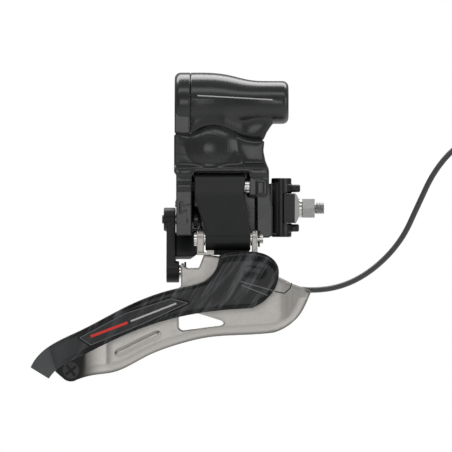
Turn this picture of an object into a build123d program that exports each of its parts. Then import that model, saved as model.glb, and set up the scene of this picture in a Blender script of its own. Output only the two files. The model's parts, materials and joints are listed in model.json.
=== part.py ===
"""Motor-driven front derailleur for a bolt-on hanger, in millimetres.

+X points forward on the bike, +Z up and +Y inboard, towards the frame. The origin is on the
axis of the fixing stud, in the saddle face that sits against the hanger. The cage is drawn at
rest over the small chainring; the two links swing it outboard, to -Y, and a little upwards.
"""

from build123d import *
from math import acos, cos, degrees, pi, radians, sin, sqrt, tan
import os

os.makedirs("parts", exist_ok=True)

# ---------------------------------------------------------------- fits
PRESS = 0.02          # radial room of a pin in the hole that grips it
RUN = 0.06            # radial room of a shaft or pin that turns
SEAM = 0.7            # width of the open seam between the shells

# ---------------------------------------------------------------- motor and gear train
MOTOR_Y = 5.0         # every gear shaft stands over this line
SHAFT_Z = -4.7        # output shaft
MODULE = 0.5
PINION_TEETH = 12
WHEEL_TEETH = (36, 32, 30)
SECTOR_TEETH = 54
SECTOR_SPAN = (-5, 1)      # pitches left and right of the mesh, counted in gaps
BACKLASH = 0.09
GEAR_WIDTH = 1.3
LAYER_GAP = 0.2
AXLE_R = 0.7
HUB_R = 1.25
OUTPUT_R = 2.5
MOTOR_R = 7.5
MOTOR_LENGTH = 24.0
MOTOR_SHAFT_R = 0.75

# ---------------------------------------------------------------- housing
WALL = 1.4
CASE_LEFT = -51.3          # outer face of the gear case cap
SKIRT_FRONT = -6.4         # outboard face of the cover's skirt over the gears
WEB_FRONT = -0.8           # and of its slim web under the snout
WEB_BACK = 13.8
CAP_SEAM_X = -44.6         # joint between the cap and the motor cover
COVER_RIGHT = -2.6         # front end of the motor cover
BARREL_R = 12.8            # round of the cover over the gears
SNOUT_R = 9.2              # slimmer round at its front end
BODY_FRONT = -9.8          # outboard face of the main body's flange
BODY_STEP = 1.8            # how far the face over the flange stands back
DOME = (-36.0, 25.4, 20.0, 10.3)  # X, Z, radius and outboard reach of the swelling over the gears
RECESS_FACE = -6.3         # the shallow hollow beside it
BODY_BACK = 17.2           # inboard face
BODY_LEFT = -51.5
BODY_RIGHT = -13.0
BODY_BOTTOM = 14.0
ARCH_LEFT = -43.0
ARCH_RIGHT = -19.6
ARCH_TOP = 15.6
EAR_LEFT = -50.6           # outer face of the left ear and of its lid
EAR_RIGHT = -43.8
LID = 0.9
PLATE = 1.0                # bearing plate behind the gears
PLATE_R = 9.3
GASKET_INSET = 0.4
RIGHT_EAR_X = (-19.4, -11.0)
EAR_FOOT_Z = -12.6
EAR_FRONT = -9.2
REAR_WEB = (4.6, 6.0)      # the thin wall that ties the ears behind the links
GROOVE = 0.5
EAR_PANEL_X = (-16.1, -12.8)
EAR_PANEL_Z = (5.8, 11.4)
BOSS_R = 4.6               # boss round the output shaft's bush
BOSS_RIGHT = -40.4
BUSH_R = 3.3
SCREW_R = 0.8              # the small screws of lid, cover and motor
SCREW_HEAD_R = 1.5
SCREW_HEAD = 0.9
COVER_SCREWS = [(-40.2, -3.2), (-40.2, 15.2), (-24.5, 0.0), (-21.6, 11.6)]
POST_TOP = 38.0            # the screws' posts end under the motor
LID_SCREWS = [(-2.2, 2.0), (12.4, 2.4), (14.6, 16.2), (-4.6, 16.2)]
LID_TOP = 30.4
BOARD_Y = 10.0
GROMMET_R = 2.6

# ---------------------------------------------------------------- links
LINK_DY = -8.6             # from upper to lower pin, at rest
LINK_DZ = -22.4
OUTER_Y = -6.0             # upper pin of the outer link
OUTER_Z = 9.4
PIN_R = 2.0
UPPER_PIN_X = (-47.0, -11.4)
LOWER_PIN_X = (-42.0, -13.6)
SPACER_R = 2.95
BARREL_TOP_R = 5.3
BARREL_LOW_R = 4.5
LINK_TOP_X = (-42.2, -22.0)
LINK_LOW_X = (-38.1, -19.0)
ARM_X = (-56.0, -50.9)     # crank arm, outside the left ear
ARM_R = 5.0
LOBE_X = (-54.8, -49.3)
LOBE_R = 4.6

# ---------------------------------------------------------------- cage
SHEET = 1.2                # thickness of the inner plate
SLIT = 0.5
INNER_Y = -11.5            # chain side of the inner plate
OUTER_PLATE_Y = -22.4      # chain side of the outer plate
OUTER_SHEET = 1.4
SKIN = 1.3
TAIL_Y = -18.4             # where the inner plate meets the tail lug
EAR_R = 3.7
BRIDGE_Z = -19.9
BRIDGE = 1.1
BRIDGE_X = (-41.7, -15.0)
OUTER_TAB_X = (-31.5, -15.0)
INNER_TAB_X = (-30.0, -17.5)
TAB_Z = -27.0
CAGE_EARS = ((-41.7, -38.7), (-18.4, -16.0))
FLANGE_X = (-48.5, -47.3)  # inner plate's ear for the crank pin
CLIP = 0.8
RIVET_R = 1.2
OUTER_RIVETS = [(-18.6, -24.0), (-28.4, -24.0)]
INNER_RIVETS = [(-20.5, -22.9), (-27.5, -22.9)]
LUG_SCREW = (-95.0, -68.7)
TAIL_RIVETS = [(-92.2, -60.6), (-99.4, -64.6)]
TAIL_SCREW_R = 1.5
TAIL_HEAD_R = 3.6
TAIL_HEAD = 1.8
TAIL_CROSS = (5.8, 1.1)
TAIL_NUT = 2.2
PANEL = [(-92.0, -54.6), (-86.6, -58.3), (-63.4, -48.8), (-44.6, -40.0), (-52.6, -37.9), (-72.0, -44.2)]

# ---------------------------------------------------------------- mount
STUD_R = 2.5               # M5
STUD_TIP = 12.5
STUD_FREE = 3.5            # length past the run-out groove at the nut
NUT_AF = 8.0
NUT_X = (3.3, 8.5)
STUD_HEAD = 3.0
STUD_HEAD_R = 3.3
PAD_ROOT = -4.6            # bottom of the pocket for the saddle pad
PAD_HALF = 6.4
PRONG_UPPER = ((-5.7, 2.3), (6.9, 10.1))
PRONG_LOWER = ((-5.7, 1.8), (-10.0, -6.8))
PRONG_HALF = 3.6
PRONG_EDGE = 0.6
WASHER = 1.9
WASHER_BULGE = (-9.3, 11.6)  # centre X and radius of the clamp washer's curved back
PLAIN_X = (1.9, 3.3)
PLAIN_R = 4.0
PLAIN_EDGE = 0.4
COLUMN_R = 4.3
COLUMN_X = -5.7
COLUMN_Z = (-12.3, 12.9)
COLUMN_EDGE = 0.5
MOUNT_FACE_X = RIGHT_EAR_X[1]
MOUNT_SCREWS = [(0.0, 8.6), (0.0, -8.6)]
MOUNT_SCREW_R = 1.25

# ---------------------------------------------------------------- data cable
CABLE_D = 2.4
COIL_CENTRE = (87.0, 10.0, 21.0)
COIL_R = 13.5
COIL_TURNS = 2.25
COIL_PITCH = 2.5
CABLE_TAIL = 12.0
CABLE_POINTS = [
    (-27.0, 12.0, 12.0),
    (-27.0, 12.0, -7.0),
    (-22.5, 11.0, -22.0),
    (-9.5, 9.5, -32.5),
    (6.0, 8.5, -35.6),
    (21.0, 8.0, -33.6),
    (34.5, 8.0, -26.0),
    (46.0, 8.0, -13.8),
    (52.8, 8.0, 1.0),
    (60.0, 7.6, 16.5),
    (71.0, 7.3, 28.5),
    (86.0, 7.2, 34.5),
]


# ---------------------------------------------------------------- helpers
def across(x0, x1, sketch):
    """A sketch drawn in (Y, Z), made solid from x0 to x1."""
    return extrude(Plane(origin=(x0, 0, 0), x_dir=(0, 1, 0), z_dir=(1, 0, 0)) * sketch, x1 - x0)


def side(y0, y1, sketch):
    """A sketch drawn in (X, Z), made solid from y0 to y1."""
    return extrude(Plane(origin=(0, y1, 0), x_dir=(1, 0, 0), z_dir=(0, -1, 0)) * sketch, y1 - y0)


def above(z0, z1, sketch):
    """A sketch drawn in (X, Y), made solid from z0 to z1."""
    return extrude(Plane.XY.offset(z0) * sketch, z1 - z0)


def disc(centre, radius):
    return Pos(*centre) * Circle(radius)


def block(x, y):
    """A rectangle between two x values and two y values."""
    return Pos((x[0] + x[1]) / 2, (y[0] + y[1]) / 2) * Rectangle(x[1] - x[0], y[1] - y[0])


def outline(*points):
    return make_face(Polyline(*points, close=True))


def rod(x0, x1, centre, radius):
    """A round bar along X."""
    return across(x0, x1, disc(centre, radius))


def tube(x0, x1, centre, radius, bore):
    return across(x0, x1, disc(centre, radius) - disc(centre, bore))


def hull(*circles):
    """The tight outline round several circles given as (centre, radius)."""
    edges = [disc(centre, radius).edges() for centre, radius in circles]
    return make_hull([edge for group in edges for edge in group])


def strip(points, thickness):
    """A mitred strip of even thickness along points in (X, Y)."""
    corners = [Vector(*point) for point in points]
    ways = [(after - before).normalized() for before, after in zip(corners, corners[1:])]
    mitres = []
    for before, after in zip([ways[0]] + ways, ways + [ways[-1]]):
        way = (before + after).normalized()
        mitres.append(Vector(-way.Y, way.X) * (thickness / 2 / way.dot(before)))
    left = [corner + mitre for corner, mitre in zip(corners, mitres)]
    right = [corner - mitre for corner, mitre in zip(corners, mitres)]
    return outline(*left, *reversed(right))


def save(name, *solids):
    """One STEP file for one named piece, or for a group of like pieces."""
    shape = solids[0] if len(solids) == 1 else Compound(children=list(solids))
    export_step(shape, f"parts/{name}.step")


# ---------------------------------------------------------------- places worked out
pitch_r = [MODULE * teeth / 2 for teeth in (PINION_TEETH, *WHEEL_TEETH, SECTOR_TEETH)]
pinion_r = pitch_r[0]
addendum = 0.8 * MODULE
shaft = (MOTOR_Y, SHAFT_Z)
axle_z = [SHAFT_Z + pinion_r + pitch_r[4]]
axle_z.append(axle_z[0] + pinion_r + pitch_r[3])
axle_z.append(axle_z[1] + pinion_r + pitch_r[2])
motor_z = axle_z[2] + pinion_r + pitch_r[1]
axles = [(MOTOR_Y, axle_z[2]), (MOTOR_Y, axle_z[1]), (MOTOR_Y, axle_z[0])]
motor = (MOTOR_Y, motor_z)
lid_inner = EAR_LEFT + LID
plate_x = (EAR_RIGHT - WALL + 0.2, EAR_RIGHT - WALL + 0.2 + PLATE)
layer = [plate_x[0] - 0.15 - GEAR_WIDTH - k * (GEAR_WIDTH + LAYER_GAP) for k in range(3)]
outer_pin = (OUTER_Y, OUTER_Z)
outer_low = (OUTER_Y + LINK_DY, OUTER_Z + LINK_DZ)
crank_low = (MOTOR_Y + LINK_DY, SHAFT_Z + LINK_DZ)


# ---------------------------------------------------------------- gears
def flank_half_angle(teeth, radius):
    """Half the angle that an involute tooth takes up at a radius."""
    pitch = MODULE * teeth / 2
    base = pitch * cos(radians(20))
    involute = lambda r: tan(acos(min(base / r, 1))) - acos(min(base / r, 1))
    half = (pi * MODULE / 4 - BACKLASH / 2) / pitch
    return half + involute(pitch) - involute(max(radius, base))


def toothed(centre, teeth, first, count=None):
    """Teeth round a centre; `first` is the angle of the first tooth, from +Y towards +Z."""
    pitch = MODULE * teeth / 2
    root = pitch - 1.15 * MODULE
    tip = pitch + addendum
    count = count or teeth
    points = []
    for tooth in range(count):
        middle = radians(first + tooth * 360 / teeth)
        for radius, sign in ((root, -1), (tip, -1), (tip, 1), (root, 1)):
            angle = middle + sign * flank_half_angle(teeth, radius)
            points.append((centre[0] + radius * cos(angle), centre[1] + radius * sin(angle)))
    if count < teeth:
        points.append(centre)
    return outline(*points)


def wheel(centre, teeth):
    """A wheel with a gap between teeth straight above its centre."""
    return toothed(centre, teeth, 90 + 180 / teeth)


def pinion(centre):
    """A pinion with a tooth straight below its centre."""
    return toothed(centre, PINION_TEETH, -90)


def gear_train():
    shaft_end = plate_x[1] + 3.0
    driver = across(layer[0], layer[0] + GEAR_WIDTH, pinion(motor))
    driver += rod(layer[0], shaft_end, motor, MOTOR_SHAFT_R)
    save("motor_pinion", driver)
    stages = zip(axles, WHEEL_TEETH, (0, 1, 2), (1, 2, 0))
    for number, (centre, teeth, wheel_layer, pinion_layer) in enumerate(stages, 1):
        gear = across(layer[wheel_layer], layer[wheel_layer] + GEAR_WIDTH, wheel(centre, teeth))
        gear += across(layer[pinion_layer], layer[pinion_layer] + GEAR_WIDTH, pinion(centre))
        gear += rod(layer[2], layer[0] + GEAR_WIDTH, centre, HUB_R)
        gear -= rod(EAR_LEFT, EAR_RIGHT, centre, AXLE_R + RUN)
        save(f"compound_gear_{number}", gear)
    sector_pitch = 360 / SECTOR_TEETH
    first = 90 - SECTOR_SPAN[1] * sector_pitch - sector_pitch / 2
    count = SECTOR_SPAN[1] - SECTOR_SPAN[0] + 1
    sector = across(layer[0], layer[0] + GEAR_WIDTH, toothed(shaft, SECTOR_TEETH, first, count))
    sector += rod(lid_inner + 0.2, layer[0] + GEAR_WIDTH, shaft, OUTPUT_R + 1.5)
    sector -= rod(EAR_LEFT, EAR_RIGHT, shaft, OUTPUT_R)
    save("sector_gear", sector)
    pins = [rod(lid_inner - 0.5, plate_x[1] - 0.1, centre, AXLE_R) for centre in axles]
    save("gear_axles", *pins)


def axle_holes(x0, x1):
    holes = rod(x0, x1, axles[0], AXLE_R + PRESS)
    for centre in axles[1:]:
        holes += rod(x0, x1, centre, AXLE_R + PRESS)
    return holes


def gear_room():
    """Outline of the space for the gears below the shells' seam, in (Y, Z)."""
    clear = addendum + 0.5
    room = disc(shaft, OUTPUT_R + 1.9)
    room += disc(axles[2], pitch_r[3] + clear)
    room += disc(axles[1], pitch_r[2] + clear)
    room += disc(axles[0], pitch_r[1] + clear)
    reach = pitch_r[4] + clear
    swing = radians(37)
    spread = (reach * sin(swing), reach * cos(swing))
    room += outline(shaft, (shaft[0] - spread[0], shaft[1] + spread[1]),
                    (shaft[0], shaft[1] + reach * 1.02), (shaft[0] + spread[0], shaft[1] + spread[1]))
    room += disc(shaft, reach) & block((shaft[0] - spread[0], shaft[0] + spread[0]),
                                       (shaft[1] + spread[1], shaft[1] + reach))
    return room


# ---------------------------------------------------------------- housing
SEAM_POINTS = [(-56.0, 32.2), (-47.9, 31.5), (-44.2, 31.6), (-38.1, 34.1), (-34.9, 34.8),
               (-28.3, 33.3), (-21.0, 29.7), (-13.3, 29.1), (1.0, 29.1)]


def seam_region(shift, upper):
    """Everything above or below the wavy seam, moved up by `shift`."""
    points = [(x, z + shift) for x, z in SEAM_POINTS]
    wave = Spline(*points)
    far = 90.0 if upper else -30.0
    rest = Polyline(points[-1], (points[-1][0], far), (points[0][0], far), points[0])
    return side(-40, 40, make_face([wave, rest]))


def skirt_plan(inset):
    """The skirt seen from above, in (X, Y): wide over the gears, slim towards the front."""
    left = CASE_LEFT + inset
    right = BODY_RIGHT - inset
    back = MOTOR_Y + BARREL_R - inset
    return outline((left, SKIRT_FRONT + inset), (-31.0, SKIRT_FRONT + inset),
                   (-21.5, WEB_FRONT + inset), (right, WEB_FRONT + inset),
                   (right, WEB_BACK - inset), (-19.5, WEB_BACK - inset), (-28.0, back), (left, back))


def cover_volume(inset):
    """The cover's round barrel, its slimmer snout and the skirt down to the seam."""
    left = CASE_LEFT + inset
    right = COVER_RIGHT - inset
    big = BARREL_R - inset
    small = SNOUT_R - inset
    crown = Spline((-40.0, big), (-28.5, big - 1.0), (-20.5, small + 0.7), (-10.0, small),
                   tangents=((1, 0), (1, 0)))
    corner = max(2.6 - inset, 0.8)
    rim = Polyline((-10.0, small), (right - corner, small))
    lip = CenterArc((right - corner, small - corner), corner, 0, 90)
    base = Polyline((right, small - corner), (right, 0), (left, 0), (left, big - corner))
    edge = CenterArc((left + corner, big - corner), corner, 90, 90)
    top = Polyline((left + corner, big), (-40.0, big))
    profile = make_face([crown, rim, lip, base, edge, top])
    placed = Plane(origin=(0, motor[0], motor[1]), x_dir=(1, 0, 0), z_dir=(0, -1, 0)) * profile
    axis = Axis((0, motor[0], motor[1]), (1, 0, 0))
    barrel = revolve(placed, axis, 360)
    skirt_side = outline((left, motor[1]), (left, 26.0), (BODY_RIGHT - 0.3 - inset, 26.0),
                         (BODY_RIGHT - 0.3 - inset, 29.3), (-11.8 - inset, 32.7),
                         (-9.4 - inset, 36.2), (-9.4 - inset, motor[1]))
    reach = block((CASE_LEFT + inset, -5.0), (WEB_FRONT + inset, WEB_BACK - inset))
    skirt = side(-30, 30, skirt_side) & above(20, 50, skirt_plan(inset) + reach)
    return barrel + skirt


def body_volume(inset):
    """The main body's block between the seam and the arch, without its ears."""
    front = BODY_FRONT + inset
    back = BODY_BACK - inset
    slope = outline((front + BODY_STEP + 2.4, 45), (front + BODY_STEP, 18.6), (front, 17.0),
                    (front, BODY_BOTTOM), (back, BODY_BOTTOM), (back + 0.4, 29), (back + 0.4, 45))
    face = outline((BODY_LEFT + inset, 45), (BODY_LEFT + inset, BODY_BOTTOM + 1.2),
                   (BODY_LEFT + inset + 1.2, BODY_BOTTOM), (-11.2 - inset, BODY_BOTTOM),
                   (-11.2 - inset, 17.1), (-12.6 - inset, 20.3), (-13.4 - inset, 24.6),
                   (BODY_RIGHT - inset, 28.2), (BODY_RIGHT - inset, 45))
    return across(BODY_LEFT - 1, -5, slope) & side(-40, 40, face)


def inner_room(shell, inset):
    """The hollow of both shells, down to the floor over the arch."""
    floor = ARCH_TOP + WALL
    return shell(inset) & above(floor, 80, block((-60, 0), (-30, 30)))


def screw_posts(z0, z1, radius):
    return [above(z0, z1, disc(place, radius)) for place in COVER_SCREWS]


def housing():
    half = SEAM / 2
    upper = cover_volume(0) & seam_region(half, True)
    upper -= inner_room(cover_volume, WALL)
    cap = upper & across(-60, CAP_SEAM_X - PRESS, block((-30, 30), (0, 80)))
    cap -= rod(CASE_LEFT + 0.5, CASE_LEFT + 5, axles[0], AXLE_R + PRESS)
    save("gear_case_cap", cap)
    cover = upper & across(CAP_SEAM_X, 0, block((-30, 30), (0, 80)))
    clear = cover_volume(WALL / 2) & seam_region(half, True)
    for post in screw_posts(20, POST_TOP, 2.0):
        cover += post & clear
    for bore in screw_posts(10, POST_TOP - 1, SCREW_R + PRESS):
        cover -= bore
    cover -= rod(plate_x[0], plate_x[1] + MOTOR_LENGTH + 0.5, motor, MOTOR_R + 0.2)
    cover += side(WEB_FRONT - 0.5, WEB_FRONT + 0.5, strip(
        [(-19.8, 30.9), (-17.2, 32.8), (-14.2, 34.2), (-11.3, 34.8)], 0.6))
    save("motor_cover", cover)

    body = body_volume(0)
    body -= side(-20, RECESS_FACE, outline(
        (-27.0, 40), (-27.0, 29.5), (-24.6, 24.0), (-21.4, 19.0), (-5, 19.0), (-5, 40)))
    dome_x, dome_z, dome_r, dome_front = DOME
    dome = Pos(dome_x, dome_r - dome_front, dome_z) * Sphere(dome_r)
    body += dome & side(-dome_front - 1, RECESS_FACE - 0.5, block((-50, -20), (16, 40)))
    body &= seam_region(-half, False)
    ear = hull((outer_pin, 3.7), (shaft, OUTPUT_R + 2.9), (axles[2], pitch_r[3] + 1.9),
               (LID_SCREWS[1], 2.2))
    ear += outline((EAR_FRONT, 15.0), (EAR_FRONT, EAR_FOOT_Z + 1.0), (-5.8, EAR_FOOT_Z + 1.0),
                   (-2.4, -7.4), (0.0, -4.6), (0.0, 15.0))
    body += across(EAR_LEFT, EAR_RIGHT, ear + block((EAR_FRONT, BODY_BACK), (12.0, 16.0)))
    body -= side(-20, EAR_FRONT + GROOVE, strip([(-48.8, -2.3), (-48.8, 2.3), (-47.8, 2.3),
                                                 (-47.0, 0.8), (-43.0, 1.8)], GROOVE))
    body -= side(-20, EAR_FRONT + GROOVE, strip([(-48.8, -2.3), (-47.8, -2.3), (-47.0, -1.1),
                                                 (-45.9, -1.3), (-45.6, -6.5)], GROOVE))
    body += across(EAR_RIGHT - 1, BOSS_RIGHT, disc(shaft, BOSS_R))
    right = outline((RIGHT_EAR_X[0], 16), (RIGHT_EAR_X[0], 5.6), (-16.6, 5.3), (-16.2, 4.0),
                    (-16.0, EAR_FOOT_Z + 1.5), (-14.5, EAR_FOOT_Z), (RIGHT_EAR_X[1], EAR_FOOT_Z),
                    (RIGHT_EAR_X[1], 16))
    depth = outline((EAR_FRONT, 16), (EAR_FRONT, EAR_FOOT_Z - 1), (6.2, EAR_FOOT_Z - 1), (6.2, 4),
                    (BODY_BACK - 3, 12), (BODY_BACK - 3, 16))
    body += side(-40, 40, right) & across(-20, -10, depth)
    body += side(EAR_FRONT, -COLUMN_R - 0.6, outline(
        (-11.4, 13.0), (-9.6, 1.0), (-9.6, EAR_FOOT_Z + 1.0), (-11.4, EAR_FOOT_Z)))
    body += side(EAR_FRONT - 0.6, 0, block(EAR_PANEL_X, EAR_PANEL_Z))
    body -= side(-40, 40, block((ARCH_LEFT, ARCH_RIGHT), (6.0, ARCH_TOP)))
    body += side(*REAR_WEB, block((EAR_RIGHT - 0.5, RIGHT_EAR_X[0] + 4.0),
                                  (EAR_FOOT_Z + 1.0, ARCH_TOP + 0.5)))
    room = inner_room(body_volume, WALL) & above(0, 60, skirt_plan(WALL))
    body -= room & across(plate_x[0], 0, block((-40, 40), (0, 60)))
    body -= across(lid_inner, plate_x[0], gear_room())
    body -= across(EAR_LEFT - 5, lid_inner, lid_outline(0.1))
    for post in screw_posts(ARCH_TOP + 0.5, 40, 2.0):
        body += post & body_volume(WALL / 2) & seam_region(-half, False)
    for bore in screw_posts(10, 40, SCREW_R + PRESS):
        body -= bore
    for head in screw_posts(10, ARCH_TOP + SCREW_HEAD, SCREW_HEAD_R + 0.1):
        body -= head
    body -= axle_holes(plate_x[0], EAR_RIGHT - 0.2)
    body -= rod(EAR_RIGHT - 2, BOSS_RIGHT, shaft, BUSH_R + PRESS)
    body -= rod(UPPER_PIN_X[0] - 0.1, UPPER_PIN_X[1] + 2, outer_pin, PIN_R + PRESS)
    for place in LID_SCREWS:
        body -= rod(EAR_LEFT - 3, lid_inner + 2.6, place, SCREW_R + PRESS)
    for place in MOUNT_SCREWS:
        body -= rod(MOUNT_FACE_X - 4.2, MOUNT_FACE_X + 1, place, MOUNT_SCREW_R + PRESS)
    body -= above(ARCH_TOP - 1, ARCH_TOP + WALL + 1, disc(CABLE_POINTS[0][:2], GROMMET_R + PRESS))
    save("main_body", body)


def lid_outline(grow):
    """The lid over the gears, in (Y, Z), seated on a ledge round their room."""
    edge = 0.8 + grow
    lid = hull((axles[2], pitch_r[3] + addendum + 0.5 + edge), (shaft, OUTPUT_R + 1.9 + edge))
    lid += disc(axles[1], pitch_r[2] + addendum + 0.5 + edge)
    for place in LID_SCREWS:
        lid += disc(place, SCREW_HEAD_R + 0.3 + grow)
    return lid & block((-30, 30), (-30, LID_TOP + grow))


def lid():
    plate = across(EAR_LEFT, lid_inner, lid_outline(0))
    plate -= rod(EAR_LEFT - 1, lid_inner + 1, shaft, BUSH_R + PRESS)
    for place in LID_SCREWS:
        plate -= rod(EAR_LEFT - 1, lid_inner + 1, place, SCREW_R + PRESS)
    for centre in axles[1:]:
        plate -= rod(lid_inner - 0.55, lid_inner + 1, centre, AXLE_R + PRESS)
    save("gear_lid", plate)
    screws = []
    for place in LID_SCREWS:
        screw = rod(EAR_LEFT - 0.5, EAR_LEFT, place, SCREW_HEAD_R)
        screws.append(screw + rod(EAR_LEFT, lid_inner + 2.4, place, SCREW_R))
    save("lid_screws", *screws)
    posts = zip(screw_posts(ARCH_TOP + 0.1, POST_TOP - 1.5, SCREW_R),
                screw_posts(ARCH_TOP, ARCH_TOP + SCREW_HEAD, SCREW_HEAD_R))
    save("cover_screws", *[shank + head for shank, head in posts])


def gasket():
    """A thin rubber strip that fills the seam, set back from the outer faces."""
    ring = cover_volume(GASKET_INSET) - cover_volume(WALL + 0.6)
    ring &= seam_region(SEAM / 2, False) & seam_region(-SEAM / 2, True)
    ring &= body_volume(GASKET_INSET)
    ring -= across(EAR_LEFT - 5, lid_inner, lid_outline(0.1))
    for bore in screw_posts(10, POST_TOP, SCREW_R + PRESS):
        ring -= bore
    save("body_gasket", *ring.solids())


def drive_unit():
    plate = across(plate_x[0], plate_x[1], disc(motor, PLATE_R) + block(
        (motor[0] - PLATE_R, motor[0] + PLATE_R), (ARCH_TOP + WALL, motor[1])))
    plate -= axle_holes(plate_x[0] - 1, plate_x[1] + 1)
    plate -= rod(plate_x[0] - 1, plate_x[1] + 1, motor, 2.0)
    bolts = [(motor[0] + step, motor[1]) for step in (-5.5, 5.5)]
    for place in bolts:
        plate -= rod(plate_x[0] - 1, plate_x[1] + 1, place, SCREW_R + PRESS)
    save("gear_plate", plate)
    can = rod(plate_x[1], plate_x[1] + MOTOR_LENGTH, motor, MOTOR_R)
    can = can.chamfer(0.8, None, can.edges().sort_by(Axis.X)[-1:])
    can -= rod(plate_x[1] - 1, plate_x[1] + 3.2, motor, MOTOR_SHAFT_R + RUN)
    for place in bolts:
        can -= rod(plate_x[1] - 1, plate_x[1] + 3.1, place, SCREW_R + PRESS)
    save("motor_can", can)
    save("motor_screws", *[rod(plate_x[0], plate_x[1] + 3, place, SCREW_R) for place in bolts])


def electronics():
    z = (ARCH_TOP + WALL, 28.0)
    board = side(BOARD_Y, BOARD_Y + 1.2, block((-42.0, -30.0), z))
    chips = side(BOARD_Y - 1.3, BOARD_Y, block((-40.5, -35.5), (20.5, 25.5)))
    chips += side(BOARD_Y - 2.2, BOARD_Y, block((-33.6, -31.0), (19.0, 26.0)))
    save("control_board", board + chips)
    start = CABLE_POINTS[0]
    gland = above(start[2], ARCH_TOP, disc(start[:2], GROMMET_R + 1.2))
    gland = gland.fillet(0.8, gland.edges().sort_by(Axis.Z)[:1])
    gland += above(ARCH_TOP, ARCH_TOP + WALL + 0.6, disc(start[:2], GROMMET_R))
    save("cable_grommet", gland)


# ---------------------------------------------------------------- mount
def mount():
    column = Pos(COLUMN_X, 0, COLUMN_Z[0]) * extrude(Circle(COLUMN_R), COLUMN_Z[1] - COLUMN_Z[0])
    column = column.fillet(COLUMN_EDGE, column.edges())
    foot = side(-COLUMN_R + 0.2, COLUMN_R - 0.2, outline(
        (MOUNT_FACE_X, -10.4), (COLUMN_X, -11.4), (COLUMN_X, 11.4), (MOUNT_FACE_X, 10.4)))
    frame = column + foot
    for x, z in (PRONG_UPPER, PRONG_LOWER):
        prong = side(-PRONG_HALF, PRONG_HALF, block(x, z))
        frame += prong.fillet(PRONG_EDGE, prong.edges().group_by(Axis.X)[-1])
    frame -= side(-10, 10, block((PAD_ROOT, 10), (-PAD_HALF, PAD_HALF)))
    frame -= rod(MOUNT_FACE_X - 1, PAD_ROOT + 1, (0, 0), STUD_R + PRESS)
    frame -= rod(MOUNT_FACE_X - 1, MOUNT_FACE_X + STUD_HEAD, (0, 0), STUD_HEAD_R + PRESS)
    for place in MOUNT_SCREWS:
        frame -= rod(MOUNT_FACE_X - 1, MOUNT_FACE_X + 5.0, place, MOUNT_SCREW_R + PRESS)
    save("mount_block", frame)
    save("mount_screws", *[rod(MOUNT_FACE_X - 4, MOUNT_FACE_X + 4.9, place, MOUNT_SCREW_R)
                           for place in MOUNT_SCREWS])
    pad = side(-5.6, 5.6, block((PAD_ROOT, 0), (-PAD_HALF + 0.05, PAD_HALF - 0.05)))
    pad = pad.fillet(1.2, pad.edges().filter_by(Axis.X))
    save("saddle_pad", pad - rod(PAD_ROOT - 1, 1, (0, 0), STUD_R + PRESS))
    washer = side(-5.6, 5.6, block((0, WASHER), (-PAD_HALF, PAD_HALF)))
    washer = washer.fillet(1.2, washer.edges().filter_by(Axis.X))
    washer &= side(-10, 10, disc((WASHER_BULGE[0], 0), WASHER_BULGE[1]))
    save("clamp_washer", washer - rod(-1, 20, (0, 0), STUD_R + PRESS))
    ring = tube(*PLAIN_X, (0, 0), PLAIN_R, STUD_R + PRESS)
    rim = ring.edges().group_by(Axis.X)[-1].sort_by(SortBy.RADIUS)[-1:]
    save("plain_washer", ring.chamfer(PLAIN_EDGE, PLAIN_EDGE, rim))
    corner = NUT_AF / sqrt(3)
    turned = make_face(Polyline((NUT_X[0], 0), (NUT_X[0], corner - 0.3), (NUT_X[0] + 0.4, corner + 0.2),
                                (NUT_X[1] - 0.6, corner + 0.2), (NUT_X[1], corner - 0.5),
                                (NUT_X[1], 0), close=True))
    nut = across(*NUT_X, RegularPolygon(corner, 6))
    nut &= revolve(Plane.XZ * turned, Axis.X, 360)
    save("fixing_nut", nut - rod(0, 20, (0, 0), STUD_R + PRESS))
    tip = STUD_TIP - STUD_FREE
    stud = rod(MOUNT_FACE_X + 0.1, MOUNT_FACE_X + STUD_HEAD, (0, 0), STUD_HEAD_R)
    stud += rod(MOUNT_FACE_X + STUD_HEAD, NUT_X[1], (0, 0), STUD_R)
    stud += rod(NUT_X[1], tip, (0, 0), STUD_R - 0.35)
    stud += rod(tip, STUD_TIP, (0, 0), STUD_R)
    save("fixing_stud", stud)


# ---------------------------------------------------------------- links
def link_hardware():
    save("link_pin_upper", rod(*UPPER_PIN_X, outer_pin, PIN_R))
    right = tube(LINK_TOP_X[1] + 0.1, RIGHT_EAR_X[0], outer_pin, SPACER_R, PIN_R + PRESS)
    left = tube(EAR_RIGHT, LINK_TOP_X[0] - 0.1, outer_pin, SPACER_R, PIN_R + PRESS)
    save("upper_spacers", left, right)
    inner = tube(EAR_RIGHT - WALL + 0.1, BOSS_RIGHT, shaft, BUSH_R, OUTPUT_R + RUN)
    outer = tube(EAR_LEFT, lid_inner, shaft, BUSH_R, OUTPUT_R + RUN)
    save("shaft_bushes", inner, outer)


def outer_link():
    body = across(-60, 0, hull((outer_pin, BARREL_TOP_R), (outer_low, BARREL_LOW_R)))
    face = outline((LINK_TOP_X[0], 15.5), (LINK_TOP_X[1], 15.5), (LINK_TOP_X[1], 10.5), (-22.6, 6.5),
                   (LINK_LOW_X[1], -10.5), (LINK_LOW_X[1], -18.5), (LINK_LOW_X[0], -18.5),
                   (LINK_LOW_X[0], -9.5), (LINK_TOP_X[0], 4.6))
    body &= side(-40, 20, face)
    length = sqrt(LINK_DY**2 + LINK_DZ**2)
    tilt = degrees(acos(-LINK_DZ / length))
    pocket = block((-1.2, 8.0), (-length + BARREL_LOW_R + 1.3, -BARREL_TOP_R - 1.2))
    hollow = across(LINK_LOW_X[0] + 2.2, LINK_TOP_X[1] - 1.4,
                    Pos(*outer_pin) * Rot(0, 0, -tilt) * pocket)
    body -= hollow
    for centre in (outer_pin, outer_low):
        body -= rod(-60, 0, centre, PIN_R + RUN)
    save("outer_link", body)


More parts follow.
